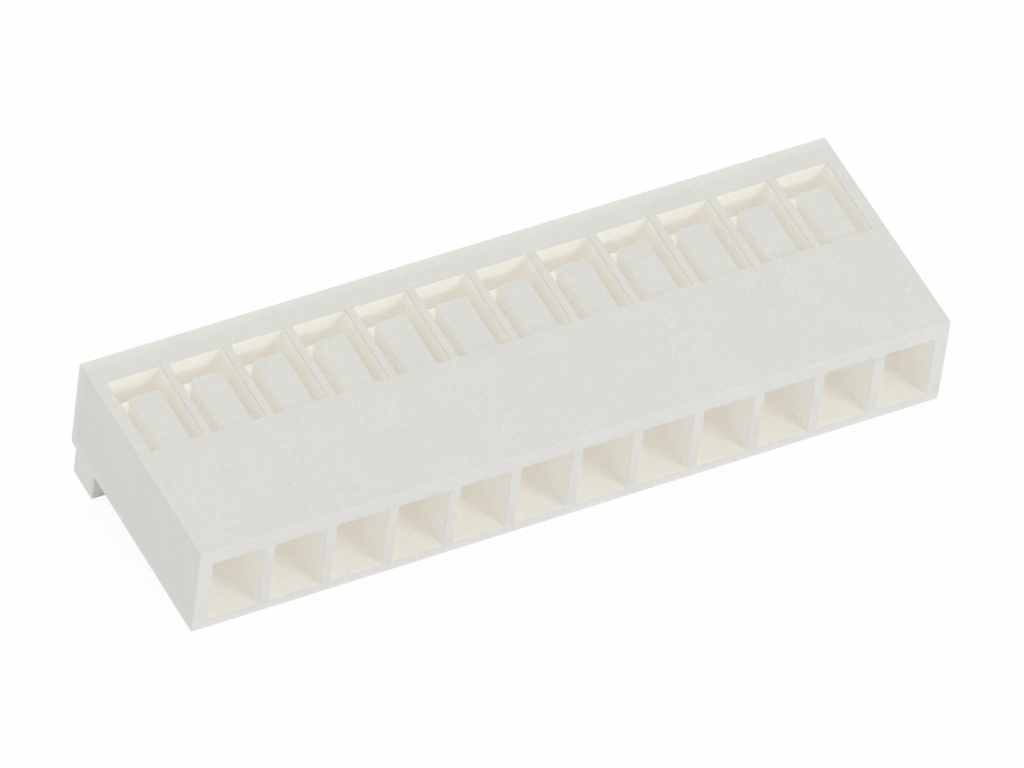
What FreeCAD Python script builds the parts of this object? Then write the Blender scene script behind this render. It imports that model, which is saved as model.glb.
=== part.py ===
import FreeCAD, Part
import os

# A single-row crimp terminal housing, moulded in one piece.
# X runs along the row and Y from the wire side to the mating side.
# The lowest point, under the rail, is at Z = 0, and the row is centred on X and Y.

# Row
ways = 12
pitch = 3.96
end_margin = 2.585         # centre of the last cavity to the end face

# Body
body_depth = 15.94         # wire face to mating face
body_height = 6.63
body_round = 0.12

# Terminal cavities, one for each way
roof = 1.17
floor = 0.80
partition = 0.72           # wall between two cavities
mating_wall = 1.50
mouth_chamfer = 0.05       # at the wire entries

# Locking windows through the roof
top_strip = 1.91           # roof left between the windows and the mating face
window_partition = 0.51    # wall between two windows, at the top face
groove_width = 0.735       # on each side of a finger
pocket_length = 1.36       # open space behind a finger's free end

# Locking finger in each window
finger_length = 4.44
finger_recess = 0.29       # finger's top below the top face
finger_ramp = 0.52         # slope from the top face down to the finger's top
finger_round = 0.25        # corners of the free end, seen from above
catch_start = 2.30         # from the finger's root
catch_drop = 0.60          # catch below the roof's underside

# Pin entries in the mating face
pin_width = 1.14           # square header pin
pin_clearance = 0.13
lead_in = 0.25

# Guide rail under the mating end
rail_height = 2.15
rail_depth = 2.50
rail_setback = 0.43        # rail to mating face
rail_inset = 0.10          # rail to end face
rail_round = 0.15

cut_margin = 1.0           # how far a cutting tool runs past an outer face

# Worked out from the sizes above
body_length = (ways - 1) * pitch + 2 * end_margin
wire_y = -body_depth / 2
mating_y = body_depth / 2
bottom_z = rail_height
top_z = bottom_z + body_height
cavity_width = pitch - partition
cavity_bottom_z = bottom_z + floor
cavity_top_z = top_z - roof
cavity_height = cavity_top_z - cavity_bottom_z
cavity_end_y = mating_y - mating_wall
window_width = pitch - window_partition
window_rear_y = mating_y - top_strip
finger_end_y = window_rear_y - pocket_length
window_front_y = finger_end_y - finger_length
finger_width = window_width - 2 * groove_width
pin_entry_width = pin_width + 2 * pin_clearance
pin_entry_z = cavity_bottom_z + cavity_height / 2


def block(width, y_start, y_end, z_low, z_high):
    """Box centred on X, between two Y and two Z values."""
    corner = FreeCAD.Vector(-width / 2, y_start, z_low)
    return Part.makeBox(width, y_end - y_start, z_high - z_low, corner)


def rectangle_at(y, width, height, z_centre):
    """Rectangular wire that faces along Y, centred on X."""
    left, right = -width / 2, width / 2
    low, high = z_centre - height / 2, z_centre + height / 2
    corners = [(left, low), (right, low), (right, high), (left, high), (left, low)]
    return Part.makePolygon([FreeCAD.Vector(x, y, z) for x, z in corners])


def flare(y_narrow, y_wide, width, height, z_centre, growth):
    """Frustum between a rectangle and one that is larger by growth on each side."""
    narrow = rectangle_at(y_narrow, width, height, z_centre)
    wide = rectangle_at(y_wide, width + 2 * growth, height + 2 * growth, z_centre)
    return Part.makeLoft([narrow, wide], True, True)


def prism_along_x(outline, width):
    """Solid with a closed (y, z) outline, centred on X."""
    points = [FreeCAD.Vector(-width / 2, y, z) for y, z in outline]
    face = Part.Face(Part.makePolygon(points + points[:1]))
    return face.extrude(FreeCAD.Vector(width, 0, 0))


def rounded(solid, radius, wanted):
    """Solid with the edges that pass the test rounded."""
    edges = [edge for edge in solid.Edges if wanted(edge)]
    return solid.makeFillet(radius, edges)


def make_body():
    body = block(body_length, wire_y, mating_y, bottom_z, top_z)
    return body.makeFillet(body_round, body.Edges)


def make_rail():
    """Full-length rail, with every edge below the body rounded."""
    rail_rear_y = mating_y - rail_setback
    rail_front_y = rail_rear_y - rail_depth
    rail_top_z = bottom_z + floor / 2
    rail = block(body_length - 2 * rail_inset, rail_front_y, rail_rear_y, 0, rail_top_z)
    return rounded(rail, rail_round, lambda edge: edge.BoundBox.ZMin < rail_top_z - rail_round)


def make_cavity():
    """Space for one terminal, with a chamfered mouth at the wire face."""
    middle_z = cavity_bottom_z + cavity_height / 2
    tunnel = block(cavity_width, wire_y - cut_margin, cavity_end_y, cavity_bottom_z, cavity_top_z)
    mouth = flare(
        wire_y + mouth_chamfer, wire_y, cavity_width, cavity_height, middle_z, mouth_chamfer
    )
    return tunnel.fuse(mouth)


def make_window():
    """Opening through the roof: its sides slope in to the cavity's width."""
    sides = [
        (-cavity_width / 2, cavity_top_z),
        (cavity_width / 2, cavity_top_z),
        (window_width / 2, top_z),
        (-window_width / 2, top_z),
        (-cavity_width / 2, cavity_top_z),
    ]
    outline = Part.makePolygon([FreeCAD.Vector(x, window_front_y, z) for x, z in sides])
    slope = Part.Face(outline).extrude(FreeCAD.Vector(0, window_rear_y - window_front_y, 0))
    above = block(window_width, window_front_y, window_rear_y, top_z, top_z + cut_margin)
    below = block(
        cavity_width, window_front_y, window_rear_y, cavity_top_z - cut_margin, cavity_top_z
    )
    return slope.fuse([above, below])


def make_finger():
    """Locking finger: a ramp at its root, a catch under its free end."""
    finger_top_z = top_z - finger_recess
    outline = [
        (window_front_y - cut_margin, top_z),
        (window_front_y, top_z),
        (window_front_y + finger_ramp, finger_top_z),
        (finger_end_y, finger_top_z),
        (finger_end_y, cavity_top_z - catch_drop),
        (window_front_y + catch_start, cavity_top_z),
        (window_front_y - cut_margin, cavity_top_z),
    ]
    finger = prism_along_x(outline, finger_width)
    return rounded(finger, finger_round, is_free_end_corner)


def is_free_end_corner(edge):
    box = edge.BoundBox
    at_the_end = box.YMin > finger_end_y - finger_round / 2
    return at_the_end and box.ZLength > box.XLength


def make_pin_entry():
    """Square hole through the mating wall, with a sloped lead-in outside."""
    hole = block(
        pin_entry_width,
        cavity_end_y - cut_margin,
        mating_y + cut_margin,
        pin_entry_z - pin_entry_width / 2,
        pin_entry_z + pin_entry_width / 2,
    )
    mouth = flare(
        mating_y - lead_in, mating_y, pin_entry_width, pin_entry_width, pin_entry_z, lead_in
    )
    return hole.fuse(mouth)


def make_way():
    """All that is cut out of the body for one way, centred on X."""
    space = make_cavity().fuse([make_window(), make_pin_entry()])
    return space.cut(make_finger())


def row_places():
    first = -(ways - 1) * pitch / 2
    return [FreeCAD.Vector(first + number * pitch, 0, 0) for number in range(ways)]


def make_housing():
    shell = make_body().fuse(make_rail())
    way = make_way()
    for place in row_places():
        shell = shell.cut(way.translated(place))
    return shell.removeSplitter()


def save(node, shape):
    if len(shape.Solids) != 1 or not shape.isValid():
        raise ValueError(node + " is not one valid solid")
    shape.Solids[0].exportStep(os.path.join("parts", node + ".step"))
    print(node, "volume mm3:", round(shape.Volume, 2), "faces:", len(shape.Faces))


os.makedirs("parts", exist_ok=True)
save("housing", make_housing())
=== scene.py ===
# %% [markdown]
# # A moulded connector housing, dressed for a product picture
#
# The housing is one piece of natural nylon: a row of terminal cavities, a locking window over
# each, and a guide rail under the mating end. Its shape is finished before this script starts.
# What is left for these cells is what makes it look like the real thing: the way small mould
# radii catch the light along the outer edges, the milky plastic that lets light through its thin
# walls, and the soft white light of a catalogue picture.

# %% Load the housing
import math

import bpy
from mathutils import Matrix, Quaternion, Vector


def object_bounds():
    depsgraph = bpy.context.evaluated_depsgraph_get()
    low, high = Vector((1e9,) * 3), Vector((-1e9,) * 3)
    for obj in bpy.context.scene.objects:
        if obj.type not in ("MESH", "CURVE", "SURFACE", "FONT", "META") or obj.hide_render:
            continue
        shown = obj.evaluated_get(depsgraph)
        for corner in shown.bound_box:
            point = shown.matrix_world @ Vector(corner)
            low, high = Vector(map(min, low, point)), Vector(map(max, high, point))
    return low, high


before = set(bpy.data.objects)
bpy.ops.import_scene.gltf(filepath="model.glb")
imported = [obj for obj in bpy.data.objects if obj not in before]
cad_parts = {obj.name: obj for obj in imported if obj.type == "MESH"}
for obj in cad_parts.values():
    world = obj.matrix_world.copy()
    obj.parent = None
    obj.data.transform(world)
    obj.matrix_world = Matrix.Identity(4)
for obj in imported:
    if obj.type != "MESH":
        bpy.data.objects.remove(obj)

cad_low, cad_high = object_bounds()
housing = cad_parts["housing"]
print("housing size in mm:", [round(1000 * side, 2) for side in cad_high - cad_low])

# %% [markdown]
# ## The camera
#
# A small part is photographed from far away with a long lens, because a near camera would make
# the far end of the row look shorter than the near one. The position is written as a photographer
# would set up a tripod: where to aim, from which side, how high, how far, and how far the
# picture is turned. An Euler rotation could say the same, but its three numbers are harder to
# read and to change.

# %% Camera
AIM = Vector((-0.000146, -0.000238, 0.005524))
AZIMUTH = math.radians(-32.79)
ELEVATION = math.radians(47.09)
ROLL = math.radians(8.09)
DISTANCE = 0.8082
LENS_MM = 490.3
SENSOR_MM = 36.0
NEAREST_SEEN = 0.01
FARTHEST_SEEN = 10.0


def make_camera():
    back = Vector((
        math.sin(AZIMUTH) * math.cos(ELEVATION),
        -math.cos(AZIMUTH) * math.cos(ELEVATION),
        math.sin(ELEVATION),
    ))
    data = bpy.data.cameras.new("camera")
    data.lens = LENS_MM
    data.sensor_width = SENSOR_MM
    data.clip_start = NEAREST_SEEN
    data.clip_end = FARTHEST_SEEN
    camera = bpy.data.objects.new("camera", data)
    bpy.context.scene.collection.objects.link(camera)
    camera.rotation_mode = "QUATERNION"
    camera.location = AIM + back * DISTANCE
    level = (-back).to_track_quat("-Z", "Y")
    camera.rotation_quaternion = level @ Quaternion((0.0, 0.0, 1.0), ROLL)
    bpy.context.scene.camera = camera
    bpy.context.scene.view_settings.view_transform = "Standard"
    return camera


camera = make_camera()
print("camera at", [round(value, 4) for value in camera.location])

# %% [markdown]
# ## Where the table lies
#
# The housing doesn't lie flat. The rail lifts its mating end, so it rests on the rail's front
# corner and on the lower edge of the wire face, and the table passes under both. The slope could
# be typed in, but the solid already holds it: the table is tilted until the lowest point of the
# front half and the lowest point of the rear half are at the same height.

# %% Find the table under the two lines that the housing rests on
STEEPEST_TILT = math.radians(30.0)
HALVINGS = 40

profile = [(vertex.co.y, vertex.co.z) for vertex in housing.data.vertices]
front_half = [point for point in profile if point[0] < 0.0]
rear_half = [point for point in profile if point[0] > 0.0]


def lowest(points, tilt):
    """Smallest height above a table that rises towards the front by the tilt."""
    return min(z * math.cos(tilt) + y * math.sin(tilt) for y, z in points)


def resting_tilt():
    """Halves the range of tilts until the front and the rear half both touch the table."""
    low, high = 0.0, STEEPEST_TILT
    for _ in range(HALVINGS):
        middle = (low + high) / 2
        if lowest(front_half, middle) > lowest(rear_half, middle):
            low = middle
        else:
            high = middle
    return low


tilt = resting_tilt()
table_height = lowest(rear_half, tilt)
table_normal = Vector((0.0, math.sin(tilt), math.cos(tilt)))
print("table tilt in degrees:", round(math.degrees(tilt), 2))

# %% [markdown]
# ## Helpers for shader nodes
#
# A surface in Blender is a tree of nodes, and most of them are small sums. Each one can be made
# and linked by hand, but that takes five lines for one sum and hides what is worked out. These
# helpers make a node, set or link all its values, and return what it puts out, so a material
# below reads like a calculation.

# %% Helpers for shader nodes
def fill(tree, socket, value):
    """Link the socket where the value comes from another node, or else set it."""
    if isinstance(value, bpy.types.NodeSocket):
        tree.links.new(value, socket)
    else:
        socket.default_value = value


def calculate(tree, operation, *values):
    node = tree.nodes.new("ShaderNodeMath")
    node.operation = operation
    for socket, value in zip(node.inputs, values):
        fill(tree, socket, value)
    return node.outputs["Value"]


def ramp(tree, value, start, full, at_start=0.0, at_full=1.0, smooth=True):
    """Goes from at_start to at_full while the value goes from start to full."""
    node = tree.nodes.new("ShaderNodeMapRange")
    node.interpolation_type = "SMOOTHSTEP" if smooth else "LINEAR"
    fill(tree, node.inputs["Value"], value)
    fill(tree, node.inputs["From Min"], start)
    fill(tree, node.inputs["From Max"], full)
    fill(tree, node.inputs["To Min"], at_start)
    fill(tree, node.inputs["To Max"], at_full)
    return node.outputs["Result"]


def mixed(tree, kind, mask, first, second):
    """Color or Vector that goes from the first to the second while the mask goes from 0 to 1."""
    node = tree.nodes.new("ShaderNodeMix")
    node.data_type = "RGBA" if kind == "Color" else "VECTOR"
    given = {socket.identifier: socket for socket in node.inputs}
    results = {socket.identifier: socket for socket in node.outputs}
    tree.links.new(mask, given["Factor_Float"])
    fill(tree, given["A_" + kind], first)
    fill(tree, given["B_" + kind], second)
    return results["Result_" + kind]


def split(tree, vector):
    node = tree.nodes.new("ShaderNodeSeparateXYZ")
    tree.links.new(vector, node.inputs["Vector"])
    return node.outputs


print("helpers: fill, calculate, ramp, mixed, split")

# %% [markdown]
# ## Plain white behind the part
#
# The background of the picture is pure white. A brighter lamp would whiten it, but it would also
# bleach the pale housing. So the white depends on the kind of ray. A ray that comes straight from
# the camera, or by way of a mirror or glass, sees a plain white of strength 1. The rays that
# light matt surfaces see the real table and the real surround.

# %% White for the background only
WHITE = (1.0, 1.0, 1.0, 1.0)
WHITE_STRENGTH = 1.0


def background_ray(tree):
    """1 for a ray that shows the background itself: straight, mirrored or through glass."""
    path = tree.nodes.new("ShaderNodeLightPath").outputs
    either = calculate(tree, "MAXIMUM", path["Is Camera Ray"], path["Is Glossy Ray"])
    return calculate(tree, "MAXIMUM", either, path["Is Transmission Ray"])


def mixed_shaders(tree, mask, first, second):
    node = tree.nodes.new("ShaderNodeMixShader")
    tree.links.new(mask, node.inputs["Fac"])
    tree.links.new(first, node.inputs[1])
    tree.links.new(second, node.inputs[2])
    return node.outputs["Shader"]


print("background white has strength", WHITE_STRENGTH)

# %% [markdown]
# ## What the table is made of
#
# A table that is all plain white would leave the part floating. So most of what the camera sees
# of it is the plain white, and the small rest is a real lit surface, which keeps a faint soft
# shadow. Seen from underneath the table is clear, so a low camera still sees the housing.

# %% Table material
TABLE_GLOW = 0.93
TABLE_COLOR = (0.95, 0.95, 0.985, 1.0)


def table_material():
    material = bpy.data.materials.new("table_white")
    material.use_nodes = True
    tree = material.node_tree
    tree.nodes.clear()
    lit = tree.nodes.new("ShaderNodeBsdfDiffuse")
    lit.inputs["Color"].default_value = TABLE_COLOR
    white = tree.nodes.new("ShaderNodeEmission")
    white.inputs["Strength"].default_value = WHITE_STRENGTH
    clear = tree.nodes.new("ShaderNodeBsdfTransparent")
    underneath = tree.nodes.new("ShaderNodeNewGeometry").outputs["Backfacing"]
    share = calculate(tree, "MULTIPLY", background_ray(tree), TABLE_GLOW)
    top = mixed_shaders(tree, share, lit.outputs["BSDF"], white.outputs["Emission"])
    surface = mixed_shaders(tree, underneath, top, clear.outputs["BSDF"])
    output = tree.nodes.new("ShaderNodeOutputMaterial")
    tree.links.new(surface, output.inputs["Surface"])
    return material


print("share of plain white in the table:", TABLE_GLOW)

# %% [markdown]
# ## The table top
#
# The table is one flat disc, so wide that its edge lies far outside the picture, turned and
# moved to the plane that was found above. A grid of small faces would look the same and only
# take longer.

# %% Build the table
TABLE_RADIUS = 0.6
TABLE_SIDES = 96


def rim_point(side):
    turn = 2 * math.pi * side / TABLE_SIDES
    return (TABLE_RADIUS * math.cos(turn), TABLE_RADIUS * math.sin(turn), 0.0)


def make_table():
    mesh = bpy.data.meshes.new("table")
    rim = [rim_point(side) for side in range(TABLE_SIDES)]
    mesh.from_pydata(rim, [], [list(range(TABLE_SIDES))])
    table = bpy.data.objects.new("table", mesh)
    bpy.context.scene.collection.objects.link(table)
    table.rotation_mode = "QUATERNION"
    table.rotation_quaternion = table_normal.to_track_quat("Z", "Y")
    table.location = table_normal * table_height
    mesh.materials.append(table_material())
    return table


table = make_table()
print("table made, radius", TABLE_RADIUS, "m")

# %% [markdown]
# ## The white surround
#
# The picture was lit inside a white surround that fills every shadow. It could be several large
# lamps, but an even world is simpler, and it lights the inside of the cavities as a white tent
# does. It turns a little warmer towards the top. A camera that looks past the table sees plain
# white instead, at strength 1.

# %% World
WORLD_LEVEL = 0.745
SIDE_COLOR = (1.0, 1.0, 0.98, 1.0)
OVERHEAD_COLOR = (1.0, 1.0, 0.91, 1.0)


def background(tree, color, strength):
    node = tree.nodes.new("ShaderNodeBackground")
    fill(tree, node.inputs["Color"], color)
    node.inputs["Strength"].default_value = strength
    return node.outputs["Background"]


def make_world():
    world = bpy.data.worlds.new("white_surround")
    bpy.context.scene.world = world
    world.use_nodes = True
    tree = world.node_tree
    tree.nodes.clear()
    height = split(tree, tree.nodes.new("ShaderNodeTexCoord").outputs["Generated"])["Z"]
    color = mixed(tree, "Color", height, SIDE_COLOR, OVERHEAD_COLOR)
    surround = background(tree, color, WORLD_LEVEL)
    white = background(tree, WHITE, WHITE_STRENGTH)
    surface = mixed_shaders(tree, background_ray(tree), surround, white)
    output = tree.nodes.new("ShaderNodeOutputWorld")
    tree.links.new(surface, output.inputs["Surface"])
    return world


print("world:", make_world().name)

# %% [markdown]
# ## Two soft boxes
#
# One soft box stands in front on the right and lights the wire face. The other stands behind,
# a little to the left, and lights the slopes that face away. One bare lamp could do for both,
# but it would draw hard shadows into every window. The cavities are deep and nearly white, so
# light bounces about in them many times before it comes out. With Blender's usual four bounces
# between matt surfaces they would look grey, so light gets sixteen.

# %% Soft boxes and bounces
LIGHT_BOUNCES = 16
LAMP_DISTANCE = 0.8
KEY_POWER = 1.4
KEY_SIZE = 0.26
KEY_FROM = Vector((0.45, -0.80, 0.55)).normalized()
REAR_POWER = 1.1
REAR_SIZE = 0.30
REAR_FROM = Vector((-0.15, 0.85, 0.50)).normalized()


def make_soft_box(name, power, size, toward):
    data = bpy.data.lights.new(name, "AREA")
    data.shape = "SQUARE"
    data.size = size
    data.energy = power
    lamp = bpy.data.objects.new(name, data)
    bpy.context.scene.collection.objects.link(lamp)
    lamp.rotation_mode = "QUATERNION"
    lamp.location = AIM + toward * LAMP_DISTANCE
    lamp.rotation_quaternion = (-toward).to_track_quat("-Z", "Y")
    return lamp


bpy.context.scene.cycles.max_bounces = LIGHT_BOUNCES
bpy.context.scene.cycles.diffuse_bounces = LIGHT_BOUNCES
for lamp in (
    make_soft_box("key", KEY_POWER, KEY_SIZE, KEY_FROM),
    make_soft_box("rear", REAR_POWER, REAR_SIZE, REAR_FROM),
):
    print(lamp.name, "lamp at", [round(value, 3) for value in lamp.location])

# %% [markdown]
# ## Groups of nodes
#
# The depth of a point, the grain and the rub marks are each worked out by ten or twenty nodes.
# They could all stand in the material, but a group has named inputs, so its values can be
# changed without opening it, and another material can use it too. Each group works in the metres
# of the part's own frame, so its pattern stays on the housing wherever that goes.

# %% Helpers for a group of nodes
def new_group(name, inputs, outputs):
    group = bpy.data.node_groups.new(name, "ShaderNodeTree")
    for socket, value in inputs.items():
        item = group.interface.new_socket(socket, in_out="INPUT", socket_type="NodeSocketFloat")
        item.default_value = value
    for socket in outputs:
        group.interface.new_socket(socket, in_out="OUTPUT", socket_type="NodeSocketFloat")
    given = group.nodes.new("NodeGroupInput").outputs
    result = group.nodes.new("NodeGroupOutput").inputs
    return group, given, result


def vector_math(tree, operation, *vectors):
    node = tree.nodes.new("ShaderNodeVectorMath")
    node.operation = operation
    for socket, vector in zip(node.inputs, vectors):
        fill(tree, socket, vector)
    return node.outputs


def place_on_part(tree):
    """Where the shaded point lies, in metres in the part's own frame."""
    return tree.nodes.new("ShaderNodeTexCoord").outputs["Object"]


print("helpers: new_group, vector_math, place_on_part")

# %% [markdown]
# ## How deep inside the part a point lies
#
# Natural nylon lets light through its thin walls, so the inside of the cavities is nearly as
# bright as the outside. Subsurface scattering can do that, but in walls this thin it makes a
# render slow and grainy. Here that light is painted instead: the inner surfaces get a paler,
# warmer colour and a weak glow, and a mask says which surfaces are inner ones. It comes from the
# distance between a point and the nearest outer face of the body. The rail hangs under the rear
# half only, so the lowest point of the front half gives the underside of the body. Faces that look
# up get an allowance, because the tops of the fingers lie a little below the roof and look as the
# roof does. The group also marks the rims next to the mating face and to the base, which get
# painted light: they are made paler, as if light came through them from behind.

# %% Node group: depth below the outer faces
BODY_UNDERSIDE = min(z for _, z in front_half)
BODY_LOW = Vector((cad_low.x, cad_low.y, BODY_UNDERSIDE))
BODY_HIGH = cad_high.copy()
BODY_CENTRE = (BODY_LOW + BODY_HIGH) / 2
BODY_HALF = (BODY_HIGH - BODY_LOW) / 2
print("body half sizes in mm:", [round(1000 * side, 2) for side in BODY_HALF])


def make_depth_group():
    tree, given, result = new_group(
        "depth_in_body",
        {"Start": 0.0, "Full": 0.00008, "Upward": 0.00045, "Rim Width": 0.0011},
        ["Mask", "Painted Rim Light"],
    )
    place = place_on_part(tree)
    from_centre = vector_math(tree, "SUBTRACT", place, BODY_CENTRE)["Vector"]
    away = vector_math(tree, "ABSOLUTE", from_centre)["Vector"]
    below = split(tree, vector_math(tree, "SUBTRACT", BODY_HALF, away)["Vector"])

    normal = tree.nodes.new("ShaderNodeNewGeometry").outputs["Normal"]
    up = calculate(tree, "MAXIMUM", split(tree, normal)["Z"], 0.0)
    allowance = calculate(tree, "MULTIPLY", up, given["Upward"])
    below_roof = calculate(tree, "SUBTRACT", below["Z"], allowance)
    below_sides = calculate(tree, "MINIMUM", below["X"], below["Y"])
    depth = calculate(tree, "MINIMUM", below_sides, below_roof)
    tree.links.new(ramp(tree, depth, given["Start"], given["Full"]), result["Mask"])

    # The rim mask below says where painted light makes the colour paler near the rear and base.
    point = split(tree, place)
    from_rear = calculate(tree, "SUBTRACT", BODY_HIGH.y, point["Y"])
    from_base = calculate(tree, "SUBTRACT", point["Z"], BODY_LOW.z)
    nearest = calculate(tree, "MINIMUM", from_rear, from_base)
    tree.links.new(ramp(tree, nearest, 0.0, given["Rim Width"], 1.0, 0.0), result["Painted Rim Light"])
    return tree


depth_group = make_depth_group()
print("group", depth_group.name, "has", len(depth_group.nodes), "nodes")

# %% [markdown]
# ## Grain and mottling
#
# The surface is finely matt, as a spark-eroded mould leaves it. Close up the grain breaks the
# highlights; from afar it only takes the shine off. Two more noises shift the colour by one to
# three parts in a hundred, one somewhat coarser than the grain and one over several millimetres,
# because moulded nylon is never one even colour. A picture of real plastic could do the same,
# but it would repeat, and it would need a file.

# %% Node group: grain, speckle and clouds
GRAIN_DETAIL = 2.0
SPECKLE_DETAIL = 4.0
CLOUD_DETAIL = 3.0


def noise_at(tree, place, size, detail):
    """Noise with its feature size in metres, which is easier to think about than a scale."""
    noise = tree.nodes.new("ShaderNodeTexNoise")
    noise.inputs["Detail"].default_value = detail
    tree.links.new(place, noise.inputs["Vector"])
    tree.links.new(calculate(tree, "DIVIDE", 1.0, size), noise.inputs["Scale"])
    return noise.outputs["Fac"]


def make_grain_group():
    tree, given, result = new_group(
        "moulded_grain",
        {"Grain Size": 0.00012, "Speckle Size": 0.0003, "Cloud Size": 0.003},
        ["Height", "Speckle", "Clouds"],
    )
    place = place_on_part(tree)
    for output, size, detail in (
        ("Height", "Grain Size", GRAIN_DETAIL),
        ("Speckle", "Speckle Size", SPECKLE_DETAIL),
        ("Clouds", "Cloud Size", CLOUD_DETAIL),
    ):
        tree.links.new(noise_at(tree, place, given[size], detail), result[output])
    return tree


grain_group = make_grain_group()
print("group", grain_group.name, "has", len(grain_group.nodes), "nodes")

# %% [markdown]
# ## Rub marks
#
# Housings are shipped loose in a bag and rub against each other. That leaves short pale marks,
# mostly in patches and mostly lying one way. A noise stretched along one direction gives the
# marks, and a large noise decides in which patches they show. Painted scratches would need an
# image; the noise gives new ones on every face.

# %% Node group: short pale rub marks
MARK_TURN = math.radians(60.0)
MARK_STRETCH = 3.0
MARK_FULL = 0.70
MARK_DETAIL = 1.0
PATCH_START = 0.45
PATCH_FULL = 0.62
PATCH_DETAIL = 2.0


def make_rub_group():
    tree, given, result = new_group(
        "rub_marks",
        {"Mark Width": 0.00014, "Patch Size": 0.005, "Threshold": 0.56},
        ["Mask"],
    )
    place = place_on_part(tree)
    turned = tree.nodes.new("ShaderNodeMapping")
    turned.vector_type = "TEXTURE"
    turned.inputs["Rotation"].default_value = (0.0, 0.0, MARK_TURN)
    turned.inputs["Scale"].default_value = (MARK_STRETCH, 1.0, 1.0)
    tree.links.new(place, turned.inputs["Vector"])
    lines = noise_at(tree, turned.outputs["Vector"], given["Mark Width"], MARK_DETAIL)
    marks = ramp(tree, lines, given["Threshold"], MARK_FULL)
    clouds = noise_at(tree, place, given["Patch Size"], PATCH_DETAIL)
    patches = ramp(tree, clouds, PATCH_START, PATCH_FULL)
    tree.links.new(calculate(tree, "MULTIPLY", marks, patches), result["Mask"])
    return tree


rub_group = make_rub_group()
print("group", rub_group.name, "has", len(rub_group.nodes), "nodes")

# %% [markdown]
# ## A dark fleck
#
# One burnt grain of nylon lies in the roof. It could be a tiny disc laid on top, but a grain
# inside the plastic has no height and casts no shadow. It is simply every point that lies close
# to one place.

# %% Node group: one dark fleck
FLECK_PLACE = (-0.01718, -0.00485, cad_high.z)
FLECK_RADIUS = 0.00009


def make_fleck_group():
    tree, given, result = new_group("dark_fleck", {"Radius": FLECK_RADIUS}, ["Mask"])
    away = vector_math(tree, "DISTANCE", place_on_part(tree), FLECK_PLACE)["Value"]
    core = calculate(tree, "DIVIDE", given["Radius"], 2.0)
    tree.links.new(ramp(tree, away, core, given["Radius"], 1.0, 0.0), result["Mask"])
    return tree


fleck_group = make_fleck_group()
print("group", fleck_group.name, "has", len(fleck_group.nodes), "nodes")

# %% [markdown]
# ## The colour of the nylon
#
# The outside is a nearly grey off-white. The inside gets a paler, warmer one, which is painted
# light for the light that comes through the thin walls. Depth mixes them. The colour then gets a
# little darker or paler step by step: clouds, speckle, the rims, which are paler as painted light,
# the rub marks and the fleck. It could all be one long ramp of colours. Here each step only
# multiplies the colour by a number near 1, so one step can be changed without upsetting the
# others. The rub marks are kept to the outside, where one housing can touch another.

# %% Colour of the nylon
NYLON_COLOR = (0.742, 0.740, 0.729, 1.0)
# Inner colour: paler and warmer than the outside, painted light that comes through thin walls.
INNER_PAINTED_LIGHT_COLOR = (0.768, 0.755, 0.722, 1.0)
CLOUDS = 0.012
SPECKLE = 0.026
NOISE_LOW = 0.3
NOISE_HIGH = 0.7
# Rims next to the mating face and the base get paler: painted light shining through them.
RIM_PAINTED_LIGHT = 0.07
MARKS_PALE = 0.05
FLECK_DARK = 0.80


def tone_shift(tree, color, mask, low, high, darkest, palest):
    """Colour times a factor that goes from darkest to palest as the mask goes from low to high."""
    factor = ramp(tree, mask, low, high, darkest, palest, smooth=False)
    node = tree.nodes.new("ShaderNodeVectorMath")
    node.operation = "SCALE"
    tree.links.new(color, node.inputs[0])
    tree.links.new(factor, node.inputs["Scale"])
    return node.outputs["Vector"]


def nylon_color(tree, depth, grain, rubbed, fleck):
    outside = calculate(tree, "SUBTRACT", 1.0, depth["Mask"])
    marks = calculate(tree, "MULTIPLY", outside, rubbed["Mask"])
    color = mixed(tree, "Color", depth["Mask"], NYLON_COLOR, INNER_PAINTED_LIGHT_COLOR)
    for mask, low, high, darkest, palest in (
        (grain["Clouds"], NOISE_LOW, NOISE_HIGH, 1.0 - CLOUDS, 1.0 + CLOUDS),
        (grain["Speckle"], NOISE_LOW, NOISE_HIGH, 1.0 - SPECKLE, 1.0 + SPECKLE),
        # painted light: paler rims next to the mating face and the base
        (depth["Painted Rim Light"], 0.0, 1.0, 1.0, 1.0 + RIM_PAINTED_LIGHT),
        (marks, 0.0, 1.0, 1.0, 1.0 + MARKS_PALE),
        (fleck["Mask"], 0.0, 1.0, 1.0, FLECK_DARK),
    ):
        color = tone_shift(tree, color, mask, low, high, darkest, palest)
    return color


print("outer colour:", NYLON_COLOR[:3], "inner colour:", INNER_PAINTED_LIGHT_COLOR[:3])

# %% [markdown]
# ## Light that comes through the walls
#
# In the real housing light comes through the walls into the cavities. The inner surfaces get
# a weak glow for it. It is full behind the fingers, where light comes in from the roof and from
# the mating face, and about a fifth weaker elsewhere. A tiny lamp in every cavity could do the
# same, but it would leave a bright spot on the wall beside it.

# %% Glow of the inner surfaces
INNER_GLOW = (0.166, 0.160, 0.152, 1.0)
NO_GLOW = (0.0, 0.0, 0.0, 1.0)
GLOW_AWAY = 0.78
GLOW_START = 0.0047
GLOW_FULL = 0.0053


def inner_glow(tree, depth):
    along = split(tree, place_on_part(tree))["Y"]
    strength = ramp(tree, along, GLOW_START, GLOW_FULL, GLOW_AWAY, 1.0, smooth=False)
    share = calculate(tree, "MULTIPLY", depth["Mask"], strength)
    return mixed(tree, "Color", share, NO_GLOW, INNER_GLOW)


print("inner glow:", INNER_GLOW[:3])

# %% [markdown]
# ## Edges and grain
#
# The outer edges have small mould radii that catch the light. A Bevel node turns the shading
# normal near those edges and leaves the mesh alone. A Bevel modifier would cut real radii, but on
# a mesh that comes from a solid it leaves ragged corners. Inside, the walls meet in sharp
# corners, where the node would draw a pale line, so there the plain normal is used. The grain is
# a bump on top of both.

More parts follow.
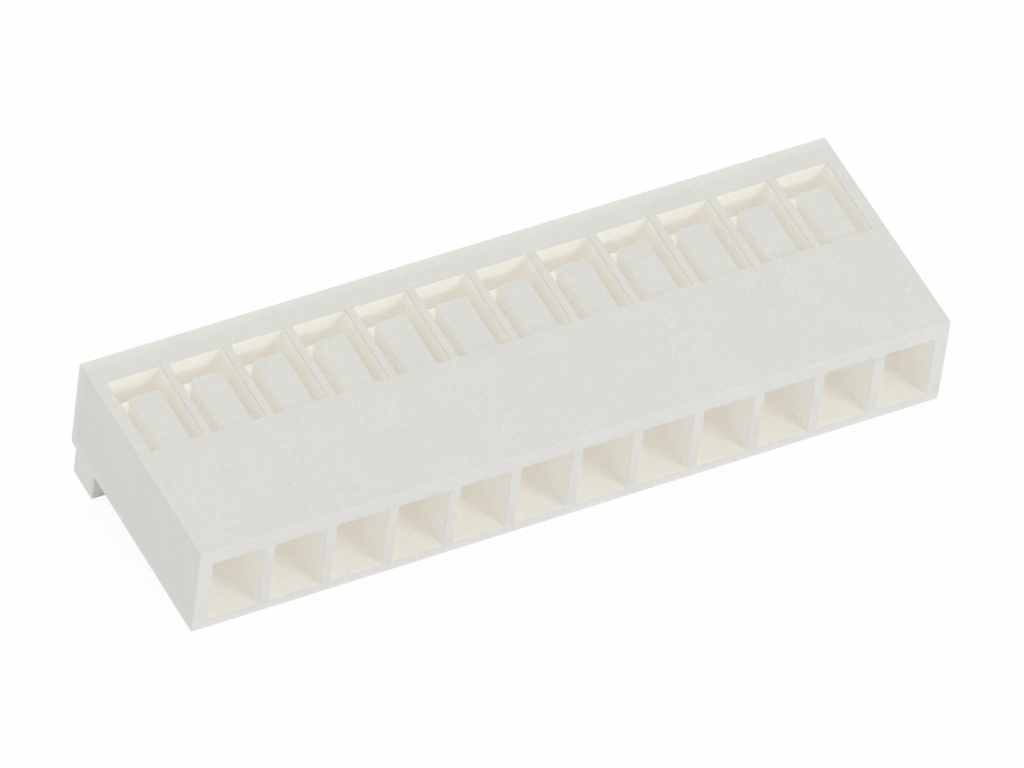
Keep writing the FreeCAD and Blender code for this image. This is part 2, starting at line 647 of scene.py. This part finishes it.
# %% Shading normal with rounded edges and grain
EDGE_RADIUS = 0.00003
EDGE_SAMPLES = 6
GRAIN_STRENGTH = 0.35
GRAIN_DEPTH = 0.00001


def nylon_normal(tree, depth, grain):
    rounded = tree.nodes.new("ShaderNodeBevel")
    rounded.samples = EDGE_SAMPLES
    rounded.inputs["Radius"].default_value = EDGE_RADIUS
    plain = tree.nodes.new("ShaderNodeNewGeometry")
    facing = mixed(
        tree, "Vector", depth["Mask"], rounded.outputs["Normal"], plain.outputs["Normal"]
    )
    bump = tree.nodes.new("ShaderNodeBump")
    bump.inputs["Strength"].default_value = GRAIN_STRENGTH
    bump.inputs["Distance"].default_value = GRAIN_DEPTH
    tree.links.new(facing, bump.inputs["Normal"])
    tree.links.new(grain["Height"], bump.inputs["Height"])
    return bump.outputs["Normal"]


print("edge radius in mm:", round(1000 * EDGE_RADIUS, 3))

# %% [markdown]
# ## Nylon
#
# The material places the four groups and joins the colour, the glow and the normal in one
# Principled shader. A second shader for the shine could be mixed in, but this one already has
# a dull sheen of its own. Roughness and index of refraction are the same all over, so they are
# plain numbers on the shader: one half is as matt as the moulded surface looks, and 1.53 is the
# index of nylon.

# %% Nylon material
NYLON_ROUGHNESS = 0.5
NYLON_IOR = 1.53
GLOW_STRENGTH = 1.0


def placed(tree, group):
    node = tree.nodes.new("ShaderNodeGroup")
    node.node_tree = group
    return node.outputs


def nylon_material():
    material = bpy.data.materials.new("natural_nylon")
    material.use_nodes = True
    tree = material.node_tree
    depth = placed(tree, depth_group)
    grain = placed(tree, grain_group)
    rubbed = placed(tree, rub_group)
    fleck = placed(tree, fleck_group)
    shader = tree.nodes["Principled BSDF"].inputs
    tree.links.new(nylon_color(tree, depth, grain, rubbed, fleck), shader["Base Color"])
    tree.links.new(inner_glow(tree, depth), shader["Emission Color"])
    tree.links.new(nylon_normal(tree, depth, grain), shader["Normal"])
    shader["Emission Strength"].default_value = GLOW_STRENGTH
    shader["Roughness"].default_value = NYLON_ROUGHNESS
    shader["IOR"].default_value = NYLON_IOR
    return material


nylon = nylon_material()
housing.material_slots[0].material = nylon
print("material on", housing.name)
